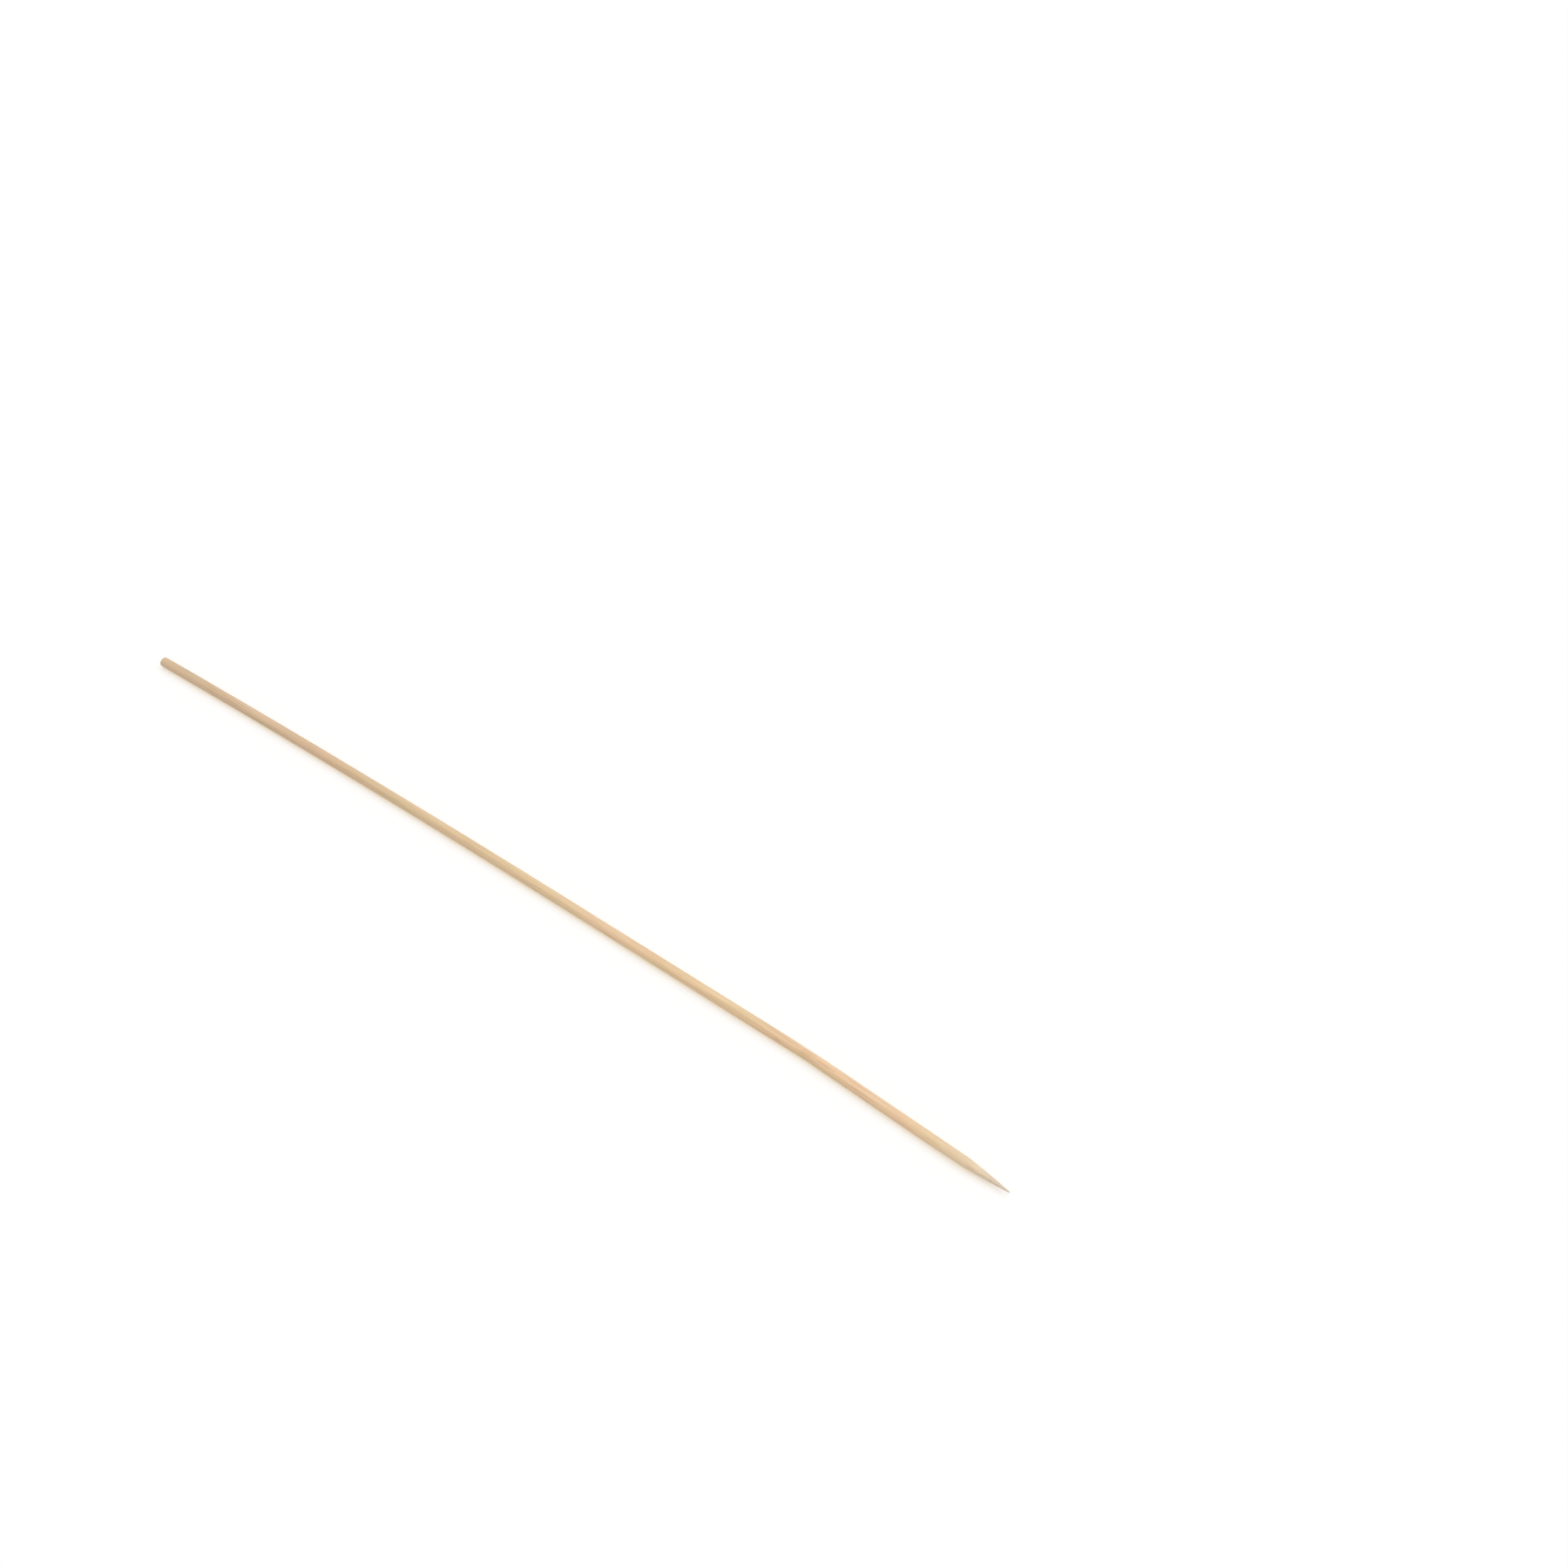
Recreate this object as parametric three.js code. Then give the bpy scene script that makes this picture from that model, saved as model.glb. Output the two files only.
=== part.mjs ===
import * as THREE from 'three';

// A bamboo skewer: one milled rod of bamboo with a flat sawn butt and a ground point.
// It lies on the plane z = 0 with its point towards +X, and its natural bow lies flat
// in that plane, bulging towards +Y. All sizes are in millimetres and radians.

// Driving dimensions of the rod
const overallLength = 300;
const stemDiameter = 3;

// The sawn butt and its tumbled rim
const buttRimRadius = 0.4;

// The ground point: a soft shoulder, a slightly bellied flank and a blunt tip
const pointLength = 14;
const shoulderLength = 2.4;
const flankBelly = 0.14;
const tipRadius = 0.16;

// The natural bow, from the butt to where the stem runs straight
const bowLength = 155;
const bowDepth = 2.5;

// The knuckle of the cane, where the stem kinks and is a little waisted
const knuckleToTip = 63;
const knuckleLength = 12;
const knuckleWaist = 0.07;

// Fineness of the surface
const sidesAround = 32;
const rimRings = 5;
const longestStemRing = 8;
const knuckleRings = 12;
const shoulderRings = 5;
const flankRings = 6;
const tipRings = 4;

// Sizes that follow from the driving ones
const stemRadius = stemDiameter / 2;
const knuckleCentre = overallLength - knuckleToTip;
const knuckleStart = knuckleCentre - knuckleLength / 2;
const knuckleEnd = knuckleCentre + knuckleLength / 2;
const shoulderStart = overallLength - pointLength;
const shoulderEnd = shoulderStart + shoulderLength;
const flankEnd = overallLength - tipRadius;
const quarterTurn = Math.PI / 2;

// The stem's radius at a distance from the butt: round and even, waisted at the knuckle.
function stemRadiusAt(distance) {
  const fromKnuckle = Math.abs(distance - knuckleCentre) / (knuckleLength / 2);
  if (fromKnuckle >= 1) {
    return stemRadius;
  }
  const waistShare = (1 + Math.cos(Math.PI * fromKnuckle)) / 2;
  return stemRadius - knuckleWaist * waistShare;
}

// The sideways slope of the bow at the knuckle's far side, where the rod runs to its tip.
const tipSlope = -bowDepth / knuckleToTip;

// The centreline's sideways offset from the line between butt and tip.
function bowOffset(distance) {
  if (distance < bowLength) {
    const left = 1 - distance / bowLength;
    return bowDepth * (1 - left * left);
  }
  if (distance <= knuckleStart) {
    return bowDepth;
  }
  if (distance < knuckleEnd) {
    const into = distance - knuckleStart;
    return bowDepth + (tipSlope * into * into) / (2 * knuckleLength);
  }
  return bowDepth + tipSlope * (distance - knuckleCentre);
}

// The centreline's slope at the same place.
function bowSlope(distance) {
  if (distance < bowLength) {
    return (2 * bowDepth * (1 - distance / bowLength)) / bowLength;
  }
  if (distance <= knuckleStart) {
    return 0;
  }
  if (distance < knuckleEnd) {
    return (tipSlope * (distance - knuckleStart)) / knuckleLength;
  }
  return tipSlope;
}

// Stem rings between two distances, spaced evenly, leaving out the first.
function stemRings(from, to, count) {
  const rings = [];
  for (let i = 1; i <= count; i += 1) {
    const distance = THREE.MathUtils.lerp(from, to, i / count);
    rings.push(new THREE.Vector2(stemRadiusAt(distance), distance));
  }
  return rings;
}

function plainStemRings(from, to) {
  return stemRings(from, to, Math.ceil((to - from) / longestStemRing));
}

// The flat butt disc and the quarter round of its rim.
function buttOutline() {
  const rim = new THREE.EllipseCurve(
    stemRadius - buttRimRadius, buttRimRadius, buttRimRadius, buttRimRadius, -quarterTurn, 0
  );
  return [new THREE.Vector2(0, 0), ...rim.getPoints(rimRings)];
}

function stemOutline() {
  return [
    ...plainStemRings(buttRimRadius, knuckleStart),
    ...stemRings(knuckleStart, knuckleEnd, knuckleRings),
    ...plainStemRings(knuckleEnd, shoulderStart)
  ];
}

// The radius of a plain cone that runs from the shoulder's middle to the tip.
function coneRadiusAt(distance) {
  const coneStart = (shoulderStart + shoulderEnd) / 2;
  return THREE.MathUtils.mapLinear(distance, coneStart, flankEnd, stemRadius, tipRadius);
}

// The shoulder, the flank and the round tip, which ends on the axis.
function pointOutline() {
  const shoulder = new THREE.QuadraticBezierCurve(
    new THREE.Vector2(stemRadius, shoulderStart),
    new THREE.Vector2(stemRadius, (shoulderStart + shoulderEnd) / 2),
    new THREE.Vector2(coneRadiusAt(shoulderEnd), shoulderEnd)
  );
  const flankMiddle = (shoulderEnd + flankEnd) / 2;
  const flank = new THREE.QuadraticBezierCurve(
    new THREE.Vector2(coneRadiusAt(shoulderEnd), shoulderEnd),
    new THREE.Vector2(coneRadiusAt(flankMiddle) + flankBelly, flankMiddle),
    new THREE.Vector2(tipRadius, flankEnd)
  );
  const tip = new THREE.EllipseCurve(0, flankEnd, tipRadius, tipRadius, 0, quarterTurn);
  const roundTip = tip.getPoints(tipRings).slice(1, -1);
  return [
    ...shoulder.getPoints(shoulderRings).slice(1),
    ...flank.getPoints(flankRings).slice(1),
    ...roundTip,
    new THREE.Vector2(0, overallLength)
  ];
}

// Bends a straight rod that lies along X, turning each cross-section with the centreline.
function bendAlongBow(geometry) {
  const position = geometry.getAttribute('position');
  for (let i = 0; i < position.count; i += 1) {
    const distance = position.getX(i);
    const sideways = position.getY(i);
    const turn = Math.atan(bowSlope(distance));
    position.setX(i, distance - sideways * Math.sin(turn));
    position.setY(i, bowOffset(distance) + sideways * Math.cos(turn));
  }
  geometry.computeVertexNormals();
}

function makeSkewer() {
  const outline = [...buttOutline(), ...stemOutline(), ...pointOutline()];
  const geometry = new THREE.LatheGeometry(outline, sidesAround);
  geometry.rotateZ(-quarterTurn);
  bendAlongBow(geometry);
  const bamboo = new THREE.MeshStandardMaterial({ color: 0xe2c7a4, roughness: 0.6, metalness: 0 });
  const skewer = new THREE.Mesh(geometry, bamboo);
  skewer.name = 'skewer';
  geometry.computeBoundingBox();
  const middle = geometry.boundingBox.getCenter(new THREE.Vector3());
  skewer.position.set(-middle.x, -middle.y, stemRadius);
  return skewer;
}

const part = new THREE.Group();
part.add(makeSkewer());

export default part;
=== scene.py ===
import math
from typing import NamedTuple

import bpy
import numpy as np
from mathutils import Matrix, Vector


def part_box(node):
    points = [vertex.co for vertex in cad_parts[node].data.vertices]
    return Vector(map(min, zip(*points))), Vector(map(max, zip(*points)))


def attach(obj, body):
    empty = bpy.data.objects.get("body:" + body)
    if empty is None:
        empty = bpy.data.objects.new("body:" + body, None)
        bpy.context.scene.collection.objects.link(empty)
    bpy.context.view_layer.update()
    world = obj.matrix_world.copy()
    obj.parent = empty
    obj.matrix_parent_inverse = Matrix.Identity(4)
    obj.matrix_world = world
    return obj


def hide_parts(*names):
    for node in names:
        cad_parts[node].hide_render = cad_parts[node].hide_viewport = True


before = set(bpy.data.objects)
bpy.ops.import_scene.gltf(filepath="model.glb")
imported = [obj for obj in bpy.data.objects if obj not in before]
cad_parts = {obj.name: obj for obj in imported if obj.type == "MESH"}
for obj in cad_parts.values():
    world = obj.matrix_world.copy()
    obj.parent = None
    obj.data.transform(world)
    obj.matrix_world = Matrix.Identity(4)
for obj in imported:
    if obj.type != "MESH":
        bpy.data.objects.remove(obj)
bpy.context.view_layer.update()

# A bamboo skewer that lies on a pale floor: one milled rod with a sawn butt and a ground
# point. The rod's sizes are in millimetres. Distances run along it from the butt, and
# angles round it from +Z towards +Y. Everything else in the scene is in metres.
MM = 0.001

# The rod, as in its solid
OVERALL_LENGTH = 300
STEM_RADIUS = 1.5
RIM_RADIUS = 0.4
POINT_LENGTH = 14
SHOULDER_LENGTH = 2.4
FLANK_BELLY = 0.14
TIP_RADIUS = 0.16
BOW_LENGTH = 155
BOW_DEPTH = 2.5
KNUCKLE_TO_TIP = 63
KNUCKLE_LENGTH = 12
KNUCKLE_WAIST = 0.07

# Sizes that follow from them
KNUCKLE = OVERALL_LENGTH - KNUCKLE_TO_TIP
KNUCKLE_START = KNUCKLE - KNUCKLE_LENGTH / 2
KNUCKLE_END = KNUCKLE + KNUCKLE_LENGTH / 2
SHOULDER_START = OVERALL_LENGTH - POINT_LENGTH
SHOULDER_END = SHOULDER_START + SHOULDER_LENGTH
FLANK_END = OVERALL_LENGTH - TIP_RADIUS
TIP_SLOPE = -BOW_DEPTH / KNUCKLE_TO_TIP


# The rod's form

def cone_radius(distance):
    """The plain cone from the shoulder's middle to the tip."""
    start = (SHOULDER_START + SHOULDER_END) / 2
    share = (distance - start) / (FLANK_END - start)
    return STEM_RADIUS + share * (TIP_RADIUS - STEM_RADIUS)


def radius_at(distance):
    """The round rod's radius at each distance from the butt, before any relief."""
    from_knuckle = np.clip(np.abs(distance - KNUCKLE) / (KNUCKLE_LENGTH / 2), 0, 1)
    radius = STEM_RADIUS - KNUCKLE_WAIST * (1 + np.cos(math.pi * from_knuckle)) / 2

    rim_left = np.clip(RIM_RADIUS - distance, 0, RIM_RADIUS)
    rim = STEM_RADIUS - RIM_RADIUS + np.sqrt(RIM_RADIUS**2 - rim_left**2)
    radius = np.where(distance < RIM_RADIUS, rim, radius)

    shoulder_share = (distance - SHOULDER_START) / SHOULDER_LENGTH
    shoulder = STEM_RADIUS - shoulder_share**2 * (STEM_RADIUS - cone_radius(SHOULDER_END))
    radius = np.where(distance > SHOULDER_START, shoulder, radius)

    flank_share = (distance - SHOULDER_END) / (FLANK_END - SHOULDER_END)
    straight = cone_radius(SHOULDER_END) * (1 - flank_share) + TIP_RADIUS * flank_share
    flank = straight + 2 * flank_share * (1 - flank_share) * FLANK_BELLY
    radius = np.where(distance > SHOULDER_END, flank, radius)

    into_tip = np.clip(distance - FLANK_END, 0, TIP_RADIUS)
    return np.where(distance > FLANK_END, np.sqrt(TIP_RADIUS**2 - into_tip**2), radius)


def bow(distance):
    """The centreline's sideways offset and its slope at each distance from the butt."""
    left = np.clip(1 - distance / BOW_LENGTH, 0, 1)
    offset = BOW_DEPTH * (1 - left**2)
    slope = 2 * BOW_DEPTH * left / BOW_LENGTH

    into = np.clip(distance - KNUCKLE_START, 0, KNUCKLE_LENGTH)
    past = np.clip(distance - KNUCKLE_END, 0, None)
    offset = offset + TIP_SLOPE * (into**2 / (2 * KNUCKLE_LENGTH) + past)
    slope = slope + TIP_SLOPE * into / KNUCKLE_LENGTH
    return offset, slope


# The relief, all of it cut into the round rod

class Grooves(NamedTuple):
    """Grooves between fibre bundles: how many random cells round the rod they wind
    between, those cells' length, how narrow the grooves are and their share of the depth."""

    around: int
    length: float
    sharpness: float
    share: float


class Line(NamedTuple):
    """A line round the knuckle: its place from the knuckle's middle, how far it wavers
    along the rod and half its width."""

    offset: float
    waver: float
    half_width: float


class Dent(NamedTuple):
    """A dent in the rod's side, which fades out along the rod and round it."""

    distance: float
    angle: float
    half_length: float
    half_width: float


# How far inside the round rod the whole skin lies, and the least share of the radius
# that the relief leaves
SKIN_CLEARANCE = 0.003
LEAST_RADIUS_SHARE = 0.2

# The mill's slightly uneven round, and the grooves between the fibre bundles
LOBES_AROUND = 5
LOBE_LENGTH = 46
LOBE_DEPTH = 0.014
BROAD_GROOVES = Grooves(around=26, length=34, sharpness=3, share=0.6)
FINE_GROOVES = Grooves(around=44, length=21, sharpness=4, share=0.4)
GROOVE_DEPTH = 0.022

# Short open pores where a bundle was cut lengthwise, with their least and most sizes
PORE_COUNT = 40
FIRST_PORE = 4
PORE_HALF_LENGTHS = (2, 7)
PORE_HALF_WIDTHS = (0.07, 0.1)
PORE_REACH_IN_HALF_LENGTHS = 2.5
PORE_DEPTH = 0.045

# Two faint uneven lines round the rod at the knuckle, and a small bruise before it
LINE_WAVES = 7
LINE_BREAKS = 11
FIRST_LINE = Line(offset=-0.8, waver=1.5, half_width=0.22)
FIRST_LINE_LEAST = 0.35
SECOND_LINE = Line(offset=0.9, waver=2.1, half_width=0.35)
SECOND_LINE_SHARE = 0.55
LINE_DEPTH = 0.035
BRUISE = Dent(distance=228.5, angle=math.radians(303), half_length=0.8, half_width=0.17)
BRUISE_DEPTH = 0.08

# The grinder's flats and scratches on the point, and a longer flat on one side of it.
# The twist is in radians for each millimetre.
FACETS = 7
FACET_TWIST = 0.12
FACET_DEPTH = 0.03
SCRATCHES_AROUND = 6
SCRATCH_SPACING = 0.16
SCRATCH_DEPTH = 0.012
SIDE_FLAT = Dent(distance=288, angle=math.radians(239), half_length=7, half_width=0.7)
SIDE_FLAT_DEPTH = 0.18

# The saw's marks on the butt, even ones and a few deeper ones, given by their place and
# half width. The rates are in radians for each millimetre.
SAW_RATE = 9.5
SAW_WAVER = 0.8
SAW_WAVER_RATE = 3.1
EVEN_MARK_SHARE = 0.45
DEEP_MARKS = ((0.35, 0.07), (-0.62, 0.05))
DEEP_MARK_SHARE = 0.8
SAW_DEPTH = 0.035
SAW_MARGIN_SHARE = 0.25

# How open the grain is in a groove and on a line, where 1 is an open pore
GROOVE_OPENNESS = 0.35
LINE_OPENNESS = 0.3

RANDOM_SEED = 41
rng = np.random.default_rng(RANDOM_SEED)


def smooth(share):
    return share * share * (3 - 2 * share)


def fibre_field(distance, angle, around, length):
    """Soft random values from 0 to 1 in cells that go round the rod and run along it."""
    along = int(OVERALL_LENGTH / length) + 2
    cells = rng.random((along, around))
    row = distance / length
    column = (angle / math.tau) * around
    row_low = np.floor(row).astype(int)
    column_low = np.floor(column).astype(int)
    row_share = smooth(row - row_low)
    column_share = smooth(column - column_low)
    left = column_low % around
    right = (column_low + 1) % around
    low = cells[row_low, left] * (1 - column_share) + cells[row_low, right] * column_share
    high = cells[row_low + 1, left] * (1 - column_share) + cells[row_low + 1, right] * column_share
    return low * (1 - row_share) + high * row_share


def bump(offset, half_width):
    return np.exp(-((offset / half_width) ** 2))


def angle_between(angle, other):
    return (angle - other + math.pi) % math.tau - math.pi


def groove_lines(distance, angle, grooves):
    """Narrow lines where a random field passes its middle value."""
    field = fibre_field(distance, angle, grooves.around, grooves.length)
    return grooves.share * (1 - np.abs(2 * field - 1)) ** grooves.sharpness


def knuckle_line(distance, waver, line):
    return bump(distance - KNUCKLE - line.offset - line.waver * waver, line.half_width)


def dented(distance, angle, dent):
    """1 in a dent's middle and 0 away from it."""
    across = STEM_RADIUS * angle_between(angle, dent.angle)
    return bump(distance - dent.distance, dent.half_length) * bump(across, dent.half_width)


def fibre_relief(distance, angle):
    """The depth of the uneven round and its grooves, and the grooves alone."""
    lobes = fibre_field(distance, angle, LOBES_AROUND, LOBE_LENGTH)
    broad = groove_lines(distance, angle, BROAD_GROOVES)
    fine = groove_lines(distance, angle, FINE_GROOVES)
    grooves = broad + fine
    return LOBE_DEPTH * lobes + GROOVE_DEPTH * grooves, grooves


def random_pore():
    return Dent(
        distance=rng.uniform(FIRST_PORE, SHOULDER_START),
        angle=rng.uniform(0, math.tau),
        half_length=rng.uniform(*PORE_HALF_LENGTHS),
        half_width=rng.uniform(*PORE_HALF_WIDTHS),
    )


def open_pores(distance, angle):
    """1 in an open pore and 0 away from it."""
    pores = np.zeros_like(distance)
    for _ in range(PORE_COUNT):
        pore = random_pore()
        reach = PORE_REACH_IN_HALF_LENGTHS * pore.half_length
        near = np.abs(distance - pore.distance) < reach
        pores = np.maximum(pores, np.where(near, dented(distance, angle, pore), 0))
    return pores


def knuckle_relief(distance, angle):
    """The depth of the knuckle's lines and the bruise, and how open the grain is there."""
    waver = fibre_field(distance, angle, LINE_WAVES, OVERALL_LENGTH) - 0.5
    broken = fibre_field(distance, angle, LINE_BREAKS, OVERALL_LENGTH)
    first_share = FIRST_LINE_LEAST + (1 - FIRST_LINE_LEAST) * broken
    second_share = SECOND_LINE_SHARE * (1 - broken)
    first = first_share * knuckle_line(distance, waver, FIRST_LINE)
    second = second_share * knuckle_line(distance, waver, SECOND_LINE)
    lines = first + second
    bruise = dented(distance, angle, BRUISE)
    openness = np.maximum(LINE_OPENNESS * lines, bruise)
    return LINE_DEPTH * lines + BRUISE_DEPTH * bruise, openness


def point_relief(distance, angle):
    """The depth of the grinder's flats and scratches and of the flat on one side."""
    ground = smooth(np.clip((distance - SHOULDER_START) / SHOULDER_LENGTH, 0, 1))
    size = radius_at(distance) / STEM_RADIUS
    twist = FACET_TWIST * (distance - SHOULDER_START)
    flats = (1 + np.cos(FACETS * angle + twist)) / 2
    scratches = fibre_field(distance, angle, SCRATCHES_AROUND, SCRATCH_SPACING)
    even = ground * (FACET_DEPTH * flats + SCRATCH_DEPTH * scratches)
    return size * (even + SIDE_FLAT_DEPTH * dented(distance, angle, SIDE_FLAT))


def saw_relief(across, up):
    """The depth of the saw's marks over the butt."""
    even = np.sin(SAW_RATE * across + SAW_WAVER * np.sin(SAW_WAVER_RATE * up)) / 2 + 0.5
    deep = sum(bump(across - place, half_width) for place, half_width in DEEP_MARKS)
    return SAW_DEPTH * np.clip(EVEN_MARK_SHARE * even + DEEP_MARK_SHARE * deep, 0, 1)


# The mesh

# Points in each ring, steps between the rings, and rings at the ends
SIDES = 88
STEM_STEP = 0.42
KNUCKLE_STEP = 0.16
POINT_STEP = 0.12
FINE_MARGIN = 2.5
RIM_RINGS = 8
TIP_RINGS = 6
BUTT_RINGS = 12


def rod_stations():
    """Distances of the rings from the butt, close together where the form changes."""
    fine_start = BRUISE.distance - FINE_MARGIN
    fine_end = KNUCKLE_END + FINE_MARGIN
    point_start = SHOULDER_START - FINE_MARGIN
    rim_turn = np.linspace(0, math.pi / 2, RIM_RINGS, endpoint=False)
    tip_turn = np.linspace(0, math.pi / 2, TIP_RINGS, endpoint=False)
    return np.concatenate([
        RIM_RADIUS * (1 - np.cos(rim_turn)),
        np.arange(RIM_RADIUS, fine_start, STEM_STEP),
        np.arange(fine_start, fine_end, KNUCKLE_STEP),
        np.arange(fine_end, point_start, STEM_STEP),
        np.arange(point_start, FLANK_END, POINT_STEP),
        FLANK_END + TIP_RADIUS * np.sin(tip_turn),
    ])


def ring_points(distance, angle):
    """Straight-rod places of the rings' points, and how open the grain is at each."""
    fibre_depth, grooves = fibre_relief(distance, angle)
    pores = open_pores(distance, angle)
    knuckle_depth, knuckle_openness = knuckle_relief(distance, angle)
    round_radius = radius_at(distance)
    size = round_radius / STEM_RADIUS
    depth = SKIN_CLEARANCE + size * (fibre_depth + PORE_DEPTH * pores + knuckle_depth)
    depth = depth + point_relief(distance, angle)
    radius = np.maximum(round_radius - depth, LEAST_RADIUS_SHARE * round_radius)
    places = np.stack([distance, radius * np.sin(angle), radius * np.cos(angle)], -1)
    openness = np.clip(GROOVE_OPENNESS * grooves + pores + knuckle_openness, 0, 1)
    return places, openness


def butt_points(rim_ring):
    """Rings that close the butt inside its rim, from the outside in."""
    rings = []
    for share in np.linspace(1, 0, BUTT_RINGS, endpoint=False)[1:]:
        ring = rim_ring * np.array([1, share, share])
        sawn = smooth(min(1, (1 - share) / SAW_MARGIN_SHARE))
        ring[:, 0] += sawn * saw_relief(ring[:, 1], ring[:, 2])
        rings.append(ring)
    return rings


def rod_faces(ring_count):
    """Quads between the rings and a fan of triangles at each end, all facing out."""
    ring, side = np.meshgrid(np.arange(ring_count - 1), np.arange(SIDES), indexing="ij")
    this = ring * SIDES + side
    beside = ring * SIDES + (side + 1) % SIDES
    quads = np.stack([this, this + SIDES, beside + SIDES, beside], -1)
    faces = quads.reshape(-1, 4).tolist()

    last_ring = (ring_count - 1) * SIDES
    butt_middle = ring_count * SIDES
    tip = butt_middle + 1
    for side in range(SIDES):
        after = (side + 1) % SIDES
        faces.append((butt_middle, side, after))
        faces.append((last_ring + after, last_ring + side, tip))
    return faces


def rod_mesh():
    """The straight rod's vertices, how open the grain is at each, and the faces."""
    angles = np.arange(SIDES) * math.tau / SIDES
    distance, angle = np.meshgrid(rod_stations(), angles, indexing="ij")
    side_rings, side_openness = ring_points(distance, angle)
    butt_rings = butt_points(side_rings[0])
    rings = np.concatenate([np.array(butt_rings[::-1]), side_rings])
    butt_middle = [[butt_rings[-1][:, 0].mean(), 0, 0]]
    tip = [[OVERALL_LENGTH, 0, 0]]
    vertices = np.concatenate([rings.reshape(-1, 3), butt_middle, tip])
    butt_openness = np.zeros(len(butt_rings) * SIDES)
    openness = np.concatenate([butt_openness, side_openness.ravel(), [0, 0]])
    return vertices, openness, rod_faces(len(rings))


def bent(places):
    """The straight rod's places bent along its bow and set where the solid lies."""
    offset, slope = bow(places[:, 0])
    turn = np.arctan(slope)
    low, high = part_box("skewer")
    x = places[:, 0] - places[:, 1] * np.sin(turn)
    y = offset + places[:, 1] * np.cos(turn)
    at_tip = high.x / MM - OVERALL_LENGTH
    at_side = high.y / MM - BOW_DEPTH - STEM_RADIUS
    at_floor = low.z / MM + STEM_RADIUS
    return np.stack([x + at_tip, y + at_side, places[:, 2] + at_floor], -1) * MM


# Scene and node helpers

# Places of the mix node's colour sockets, whose names it uses more than once
MIX_FIRST = 6
MIX_SECOND = 7
MIX_RESULT = 2


class Nodes:
    """A short way to add and join the nodes of one tree."""

    def __init__(self, tree):
        self.tree = tree
        tree.nodes.clear()

    def add(self, kind, inputs, **settings):
        """Adds a node. Each input is another node's output, which is joined, or a value."""
        made = self.tree.nodes.new(kind)
        for name, value in settings.items():
            setattr(made, name, value)
        for key, value in inputs.items():
            if isinstance(value, bpy.types.NodeSocket):
                self.tree.links.new(value, made.inputs[key])
            else:
                made.inputs[key].default_value = value
        return made

    def attribute(self, name):
        return self.add("ShaderNodeAttribute", {}, attribute_name=name)

    def maths(self, operation, first, second=0.0):
        return self.add("ShaderNodeMath", {0: first, 1: second}, operation=operation).outputs[0]

    def vector_maths(self, operation, first, second, result):
        inputs = {0: first, 1: second}
        return self.add("ShaderNodeVectorMath", inputs, operation=operation).outputs[result]

    def ranged(self, value, low, high, to_low=0.0, to_high=1.0):
        """Turns low to high into to_low to to_high, with soft ends."""
        inputs = {
            "Value": value,
            "From Min": low,
            "From Max": high,
            "To Min": to_low,
            "To Max": to_high,
        }
        made = self.add("ShaderNodeMapRange", inputs, interpolation_type="SMOOTHSTEP")
        return made.outputs["Result"]

    def mixed(self, share, first, second, blend="MIX"):
        inputs = {"Factor": share, MIX_FIRST: first, MIX_SECOND: second}
        made = self.add("ShaderNodeMix", inputs, data_type="RGBA", blend_type=blend)
        return made.outputs[MIX_RESULT]


def colour(red, green, blue):
    return (red, green, blue, 1)


def add_material(name):
    """A new material, and the means to add its nodes."""
    material = bpy.data.materials.new(name)
    material.use_nodes = True
    return material, Nodes(material.node_tree)


def add_object(name, data):
    made = bpy.data.objects.new(name, data)
    bpy.context.scene.collection.objects.link(made)
    return made


def add_attribute(mesh, name, kind, key, values):
    layer = mesh.attributes.new(name, kind, "POINT")
    layer.data.foreach_set(key, values.astype(np.float32).ravel())


# The bamboo. Its patterns lie in the straight rod, so that they follow the bow and the
# point cuts through them.

class Noise(NamedTuple):
    """Noise that is stretched along the rod, with how often it changes in a millimetre
    along the rod and across it."""

    along: float
    across: float
    detail: float
    roughness: float


class Pattern(NamedTuple):
    """Noise made into a pattern, which goes from least to most where the noise rises from
    low to high."""

    noise: Noise
    low: float
    high: float
    least: float = 0.0
    most: float = 1.0


class Bundles(NamedTuple):
    """Fibre bundles, with their thickness as a share of their spacing."""

    length: float
    spacing: float
    thickness: float


class Fade(NamedTuple):
    """A tint that grows from nothing at start to its full share at end."""

    start: float
    end: float
    share: float
    tint: tuple


STRAW = colour(0.81, 0.59, 0.34)
PEACH = colour(0.85, 0.58, 0.355)
PALE_FIBRE = colour(0.90, 0.71, 0.48)
FIBRE_LINE = colour(0.58, 0.38, 0.19)
PORE = colour(0.36, 0.21, 0.09)
KNUCKLE_TINT = colour(0.62, 0.41, 0.2)
GROUND_WOOD = colour(0.86, 0.73, 0.57)
TIP_WOOD = colour(0.60, 0.51, 0.40)
END_GRAIN = colour(0.66, 0.50, 0.31)
BUNDLE = colour(0.38, 0.23, 0.1)
# Painted shade: the colour that greys and darkens the rod towards the butt, standing in for light
# that falls off there
PAINTED_BUTT_SHADE = colour(0.80, 0.82, 0.86)

# The stem's stretches of straw and peach, and the fibres on them
STRETCHES = Pattern(Noise(0.05, 0.3, detail=2, roughness=0.5), low=0.38, high=0.62)
PALE_BANDS = Pattern(Noise(0.022, 2.3, detail=4, roughness=0.6), low=0.45, high=0.72, most=0.42)
DARK_LINES = Pattern(Noise(0.03, 6.5, detail=3, roughness=0.55), low=0.55, high=0.68, most=0.4)
PALE_THREADS = Pattern(Noise(0.09, 19, detail=2, roughness=0.5), low=0.5, high=0.66, most=0.3)

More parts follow.
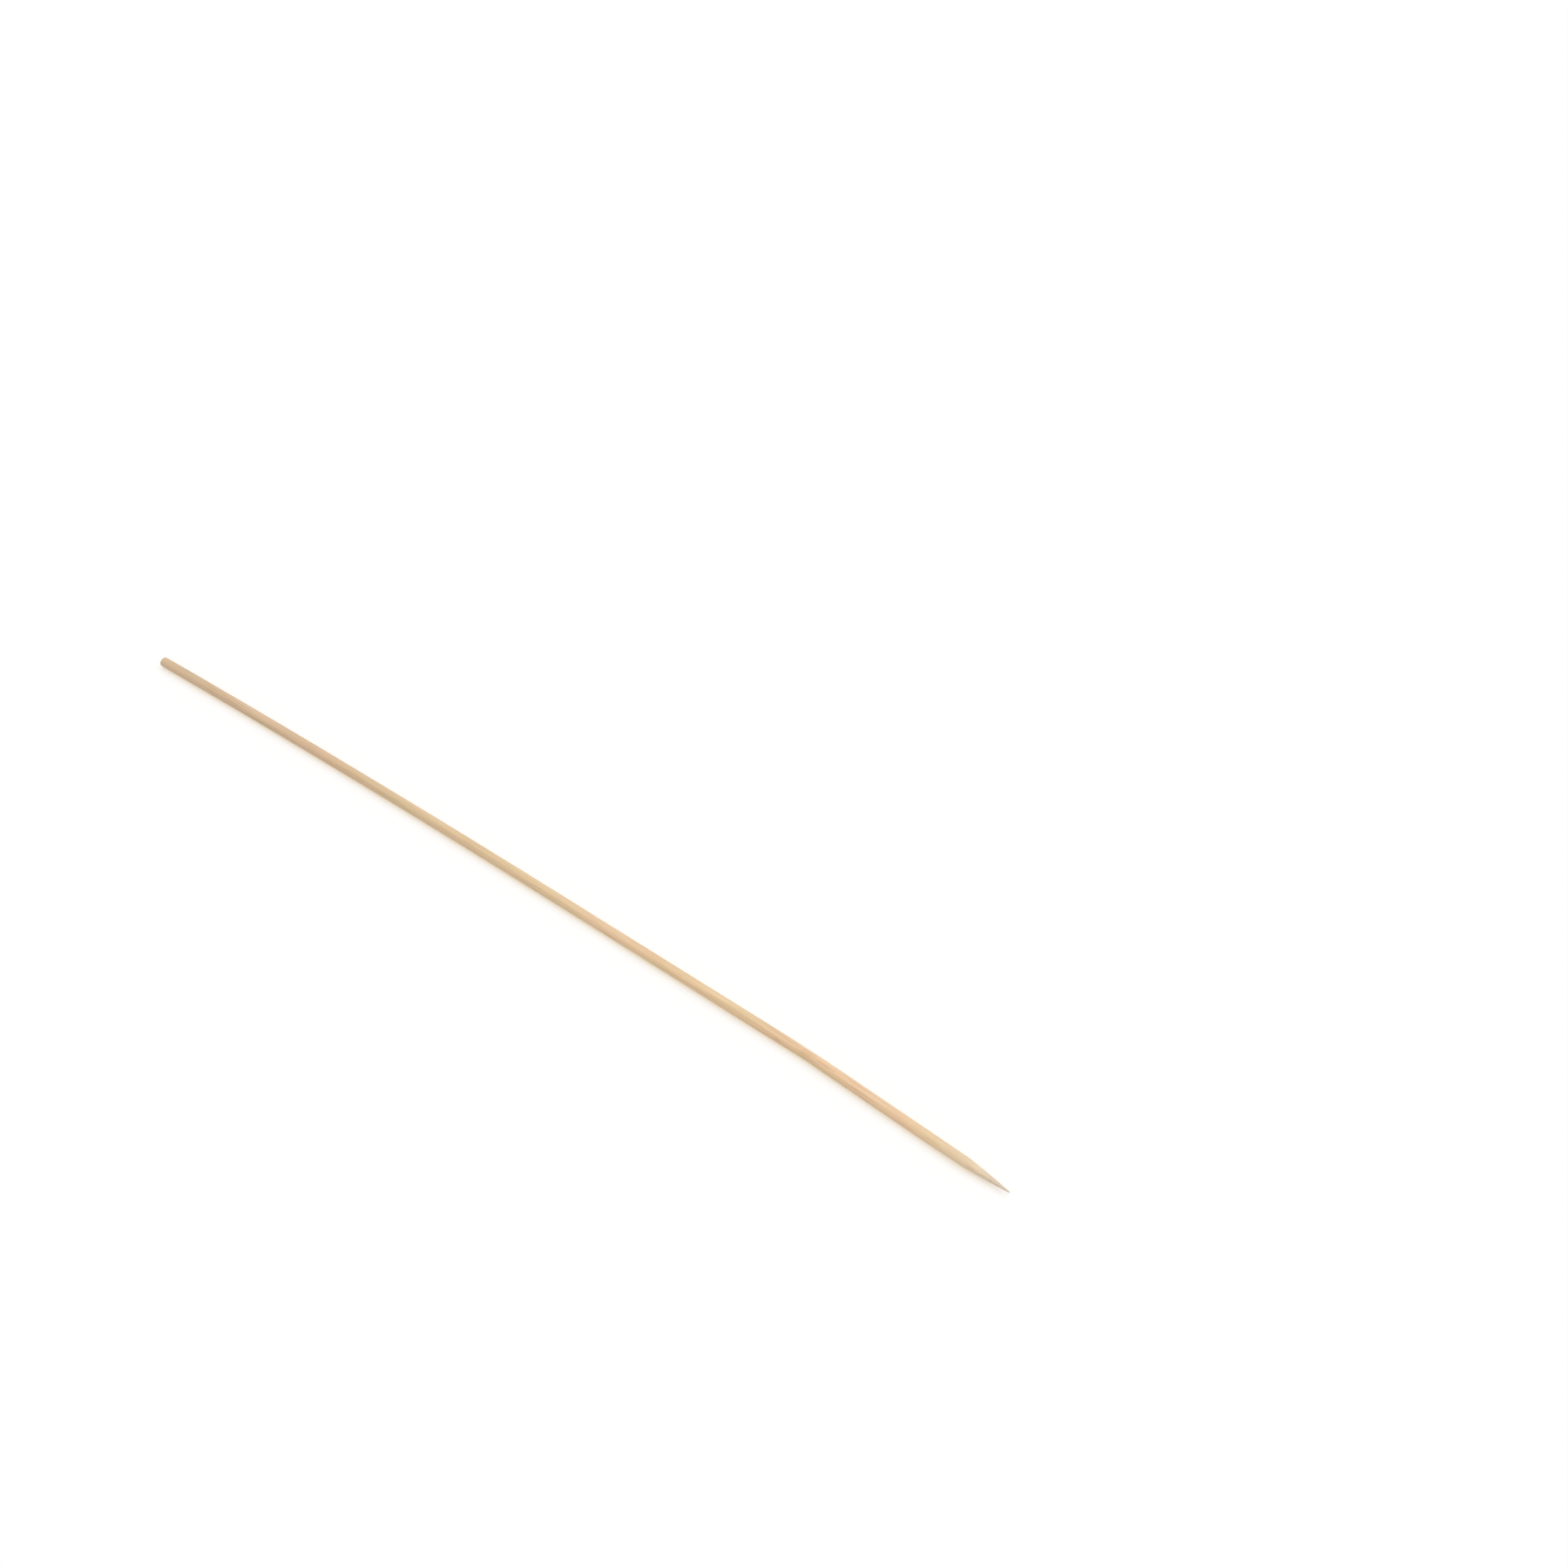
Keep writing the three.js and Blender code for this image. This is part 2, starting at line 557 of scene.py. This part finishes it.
# The knuckle's tint, whose reach to both sides is uneven. It is full in the reach's core.
TINT_REACH = Pattern(
    Noise(0.3, 1.6, detail=3, roughness=0.5), low=0.3, high=0.7, least=1, most=5.5
)
TINT_CORE = 0.25
TINT_SHARE = 0.22

# Changes along the rod
# How far from the butt the painted shade reaches
PAINTED_BUTT_SHADE_LENGTH = 0.7 * OVERALL_LENGTH
POINT_FADES = (
    Fade(start=SHOULDER_START - 18, end=SHOULDER_START + 4, share=0.35, tint=GROUND_WOOD),
    Fade(start=SHOULDER_START, end=OVERALL_LENGTH, share=0.7, tint=GROUND_WOOD),
    Fade(start=SHOULDER_END, end=FLANK_END - 2, share=0.5, tint=TIP_WOOD),
)

# The fibre bundles: wide and sparse towards the cane's hollow, thin and close under its
# skin, with a few short ones that were cut open. The hollow's side and the skin's side
# begin at the edges, which are places across the rod.
HOLLOW_BUNDLES = Bundles(length=44, spacing=0.34, thickness=0.40)
SKIN_BUNDLES = Bundles(length=26, spacing=0.19, thickness=0.42)
OPEN_BUNDLES = Bundles(length=13, spacing=0.2, thickness=0.28)
BUNDLE_SCATTER = 0.9
BUNDLE_CORE = 0.45
SKIN_ANGLE = math.radians(75)
HOLLOW_EDGE = -0.7 * STEM_RADIUS
SKIN_EDGE = 0.8 * STEM_RADIUS
BUNDLE_SHARE = 0.3
OPEN_BUNDLE_SHARE = 0.42
PORE_SHARE = 0.45

# The end grain, which fades out between two distances from the butt
MOTTLE = Pattern(Noise(1, 5, detail=4, roughness=0.7), low=0.35, high=0.7, most=0.5)
END_BUNDLE_SHARE = 0.8
END_GRAIN_FULL = 0.02
END_GRAIN_GONE = 0.12

# The finish, with fibres finer than the mesh
ROUGHNESS = Pattern(
    Noise(0.04, 5, detail=3, roughness=0.5), low=0.3, high=0.7, least=0.46, most=0.66
)
FINE_FIBRES = Noise(0.4, 17, detail=3, roughness=0.6)
FINE_FIBRE_DEPTH = 0.02
FINE_FIBRE_STRENGTH = 0.5
SPECULAR_LEVEL = 0.35


def stretched(nodes, grain, along, across):
    return nodes.vector_maths("MULTIPLY", grain, (along, across, across), 0)


def raw_noise(nodes, grain, noise):
    inputs = {
        "Vector": stretched(nodes, grain, noise.along, noise.across),
        "Scale": 1,
        "Detail": noise.detail,
        "Roughness": noise.roughness,
    }
    return nodes.add("ShaderNodeTexNoise", inputs).outputs["Fac"]


def drawn(nodes, grain, pattern):
    """The pattern's value at each place in the wood."""
    raw = raw_noise(nodes, grain, pattern.noise)
    return nodes.ranged(raw, pattern.low, pattern.high, pattern.least, pattern.most)


def inside_bundles(nodes, grain, bundles):
    """1 inside the fibre bundles, which run along the rod and taper at both ends."""
    inputs = {
        "Vector": stretched(nodes, grain, 1 / bundles.length, 1 / bundles.spacing),
        "Scale": 1,
        "Randomness": BUNDLE_SCATTER,
    }
    cells = nodes.add("ShaderNodeTexVoronoi", inputs, feature="F1", distance="EUCLIDEAN")
    core = BUNDLE_CORE * bundles.thickness
    return nodes.ranged(cells.outputs["Distance"], core, bundles.thickness, 1, 0)


def skin_side(nodes, grain):
    """0 on the side that faced the cane's hollow and 1 on the side under its skin."""
    towards_skin = (0, math.sin(SKIN_ANGLE), math.cos(SKIN_ANGLE))
    place = nodes.vector_maths("DOT_PRODUCT", grain, towards_skin, "Value")
    return nodes.ranged(place, HOLLOW_EDGE, SKIN_EDGE)


def all_bundles(nodes, grain):
    """Wide, sparse bundles on the hollow side and thin, close ones under the skin."""
    skin = skin_side(nodes, grain)
    hollow = nodes.maths("SUBTRACT", 1.0, skin)
    sparse = nodes.maths("MULTIPLY", inside_bundles(nodes, grain, HOLLOW_BUNDLES), hollow)
    dense = nodes.maths("MULTIPLY", inside_bundles(nodes, grain, SKIN_BUNDLES), skin)
    return nodes.maths("ADD", sparse, dense)


def stem_colour(nodes, grain):
    """Straw and peach stretches, with pale and dark fibres that run along the rod."""
    base = nodes.mixed(drawn(nodes, grain, STRETCHES), STRAW, PEACH)
    base = nodes.mixed(drawn(nodes, grain, PALE_BANDS), base, PALE_FIBRE)
    base = nodes.mixed(drawn(nodes, grain, DARK_LINES), base, FIBRE_LINE)
    return nodes.mixed(drawn(nodes, grain, PALE_THREADS), base, PALE_FIBRE)


def knuckle_browning(nodes, grain, distance, base):
    """The base colour with the knuckle's brown tint, which ends unevenly."""
    from_knuckle = nodes.maths("ABSOLUTE", nodes.maths("SUBTRACT", distance, KNUCKLE))
    reach = drawn(nodes, grain, TINT_REACH)
    share_of_reach = nodes.maths("DIVIDE", from_knuckle, reach)
    tinted = nodes.ranged(share_of_reach, TINT_CORE, 1, TINT_SHARE, 0)
    return nodes.mixed(tinted, base, KNUCKLE_TINT)


def along_rod_changes(nodes, grain, distance, base):
    """The painted shade that darkens the rod towards the butt, the brown knuckle, the paler ground
    point and its greyer tip.
    """
    # Painted shade: the colour is darkened and greyed from the butt, fading out along the rod
    butt_painted_shade = nodes.ranged(distance, 0, PAINTED_BUTT_SHADE_LENGTH, 1, 0)
    base = nodes.mixed(butt_painted_shade, base, PAINTED_BUTT_SHADE, "MULTIPLY")
    base = knuckle_browning(nodes, grain, distance, base)
    for fade in POINT_FADES:
        share = nodes.ranged(distance, fade.start, fade.end, 0, fade.share)
        base = nodes.mixed(share, base, fade.tint)
    return base


def bundle_stripes(nodes, grain, base):
    """The fibre bundles that the mill and the grinder cut lengthwise."""
    whole = nodes.maths("MULTIPLY", all_bundles(nodes, grain), BUNDLE_SHARE)
    base = nodes.mixed(whole, base, BUNDLE)
    cut_open = inside_bundles(nodes, grain, OPEN_BUNDLES)
    return nodes.mixed(nodes.maths("MULTIPLY", cut_open, OPEN_BUNDLE_SHARE), base, BUNDLE)


def end_grain(nodes, grain, distance, base):
    """Round fibre bundles in the sawn butt, closer together towards one side."""
    face = nodes.mixed(drawn(nodes, grain, MOTTLE), END_GRAIN, PALE_FIBRE)
    in_one_plane = stretched(nodes, grain, 0, 1)
    dots = nodes.maths("MULTIPLY", all_bundles(nodes, in_one_plane), END_BUNDLE_SHARE)
    face = nodes.mixed(dots, face, BUNDLE)
    on_butt = nodes.ranged(distance, END_GRAIN_FULL, END_GRAIN_GONE, 1, 0)
    return nodes.mixed(on_butt, base, face)


def fine_fibres(nodes, grain):
    """The surface's direction, with the fibres that are finer than the mesh."""
    inputs = {
        "Strength": FINE_FIBRE_STRENGTH,
        "Distance": FINE_FIBRE_DEPTH * MM,
        "Height": raw_noise(nodes, grain, FINE_FIBRES),
    }
    return nodes.add("ShaderNodeBump", inputs).outputs["Normal"]


def bamboo_material():
    material, nodes = add_material("bamboo")
    grain = nodes.attribute("straight").outputs["Vector"]
    openness = nodes.attribute("open_grain").outputs["Fac"]
    distance = nodes.add("ShaderNodeSeparateXYZ", {0: grain}).outputs["X"]

    base = stem_colour(nodes, grain)
    base = along_rod_changes(nodes, grain, distance, base)
    base = bundle_stripes(nodes, grain, base)
    base = nodes.mixed(nodes.maths("MULTIPLY", openness, PORE_SHARE), base, PORE)
    base = end_grain(nodes, grain, distance, base)

    surface = {
        "Base Color": base,
        "Roughness": drawn(nodes, grain, ROUGHNESS),
        "Normal": fine_fibres(nodes, grain),
        "Specular IOR Level": SPECULAR_LEVEL,
    }
    shader = nodes.add("ShaderNodeBsdfPrincipled", surface)
    nodes.add("ShaderNodeOutputMaterial", {"Surface": shader.outputs["BSDF"]})
    return material


def make_skewer():
    places, openness, faces = rod_mesh()
    mesh = bpy.data.meshes.new("skewer_body")
    mesh.from_pydata(bent(places).tolist(), [], faces)
    mesh.shade_smooth()
    add_attribute(mesh, "straight", "FLOAT_VECTOR", "vector", places)
    add_attribute(mesh, "open_grain", "FLOAT", "value", openness)
    mesh.update()
    mesh.materials.append(bamboo_material())
    skewer = add_object("skewer_body", mesh)
    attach(skewer, "root")
    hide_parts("skewer")


# Floor, light and camera

WHITE = colour(1, 1, 1)
FLOOR_SIZE = 6.0
FLOOR_BOUNCE = colour(0.95, 0.95, 0.95)
FLOOR_LIT = colour(0.40, 0.51, 0.66)
FLOOR_GLOW = colour(0.597, 0.482, 0.328)
WORLD_LEVEL = 0.57

# The sun shines from SUN_FROM, which turns from +Y towards +X.
SUN_LEVEL = 0.46
SUN_HEIGHT = math.radians(73)
SUN_FROM = math.radians(20)
SUN_SPREAD = math.radians(68)

# Where the lens looks on the floor, and from where, worked out from the rod's two ends
# and its widths in the photograph
PHOTO_SIZE = 1800
FOCAL_LENGTH_IN_PIXELS = 2000
SENSOR_WIDTH = 36
CAMERA_TARGET = (0.0317, 0.0703, 0)
CAMERA_DISTANCE = 0.508
CAMERA_AZIMUTH = math.radians(34.9)
CAMERA_ELEVATION = math.radians(54.07)
NEAREST_SEEN = 0.01


def seen_directly(nodes):
    """1 for rays that show a surface to the eye, straight, mirrored or through glass."""
    path = nodes.add("ShaderNodeLightPath", {}).outputs
    seen = nodes.maths("MAXIMUM", path["Is Camera Ray"], path["Is Glossy Ray"])
    return nodes.maths("MAXIMUM", seen, path["Is Transmission Ray"])


def floor_material():
    """White to the eye, with a soft shadow, and a plain pale reflector to everything else."""
    material, nodes = add_material("floor")
    seen = seen_directly(nodes)
    tone = nodes.mixed(seen, FLOOR_BOUNCE, FLOOR_LIT)
    lit = nodes.add("ShaderNodeBsdfDiffuse", {"Color": tone}).outputs["BSDF"]
    light = {"Color": FLOOR_GLOW, "Strength": seen}
    glow = nodes.add("ShaderNodeEmission", light).outputs["Emission"]
    both = nodes.add("ShaderNodeAddShader", {0: lit, 1: glow}).outputs["Shader"]
    nodes.add("ShaderNodeOutputMaterial", {"Surface": both})
    return material


def make_floor():
    half = FLOOR_SIZE / 2
    corners = [(-half, -half, 0), (half, -half, 0), (half, half, 0), (-half, half, 0)]
    mesh = bpy.data.meshes.new("floor")
    mesh.from_pydata(corners, [], [(0, 1, 2, 3)])
    mesh.materials.append(floor_material())
    floor = add_object("floor", mesh)


def make_world():
    """Even light from all round, which looks white to the eye."""
    world = bpy.data.worlds.new("studio")
    bpy.context.scene.world = world
    world.use_nodes = True
    nodes = Nodes(world.node_tree)
    strength = nodes.ranged(seen_directly(nodes), 0, 1, WORLD_LEVEL, 1)
    background = nodes.add("ShaderNodeBackground", {"Color": WHITE, "Strength": strength})
    nodes.add("ShaderNodeOutputWorld", {"Surface": background.outputs["Background"]})


def make_sun():
    """A sun as wide as a softbox, which lights a white floor to about SUN_LEVEL."""
    lamp = bpy.data.lights.new("softbox", "SUN")
    lamp.energy = math.pi * SUN_LEVEL / math.sin(SUN_HEIGHT)
    lamp.angle = SUN_SPREAD
    sun = add_object("softbox", lamp)
    sun.rotation_euler = (SUN_HEIGHT - math.pi / 2, 0, -SUN_FROM)


def make_camera():
    lens = bpy.data.cameras.new("camera")
    lens.sensor_width = SENSOR_WIDTH
    lens.lens = SENSOR_WIDTH * FOCAL_LENGTH_IN_PIXELS / PHOTO_SIZE
    lens.clip_start = NEAREST_SEEN
    camera = add_object("camera", lens)
    level = CAMERA_DISTANCE * math.cos(CAMERA_ELEVATION)
    camera.location = (
        CAMERA_TARGET[0] + level * math.sin(CAMERA_AZIMUTH),
        CAMERA_TARGET[1] - level * math.cos(CAMERA_AZIMUTH),
        CAMERA_TARGET[2] + CAMERA_DISTANCE * math.sin(CAMERA_ELEVATION),
    )
    camera.rotation_euler = (math.pi / 2 - CAMERA_ELEVATION, 0, CAMERA_AZIMUTH)
    bpy.context.scene.camera = camera


make_camera()
make_skewer()
make_floor()
make_world()
make_sun()
bpy.context.scene.view_settings.view_transform = "Standard"
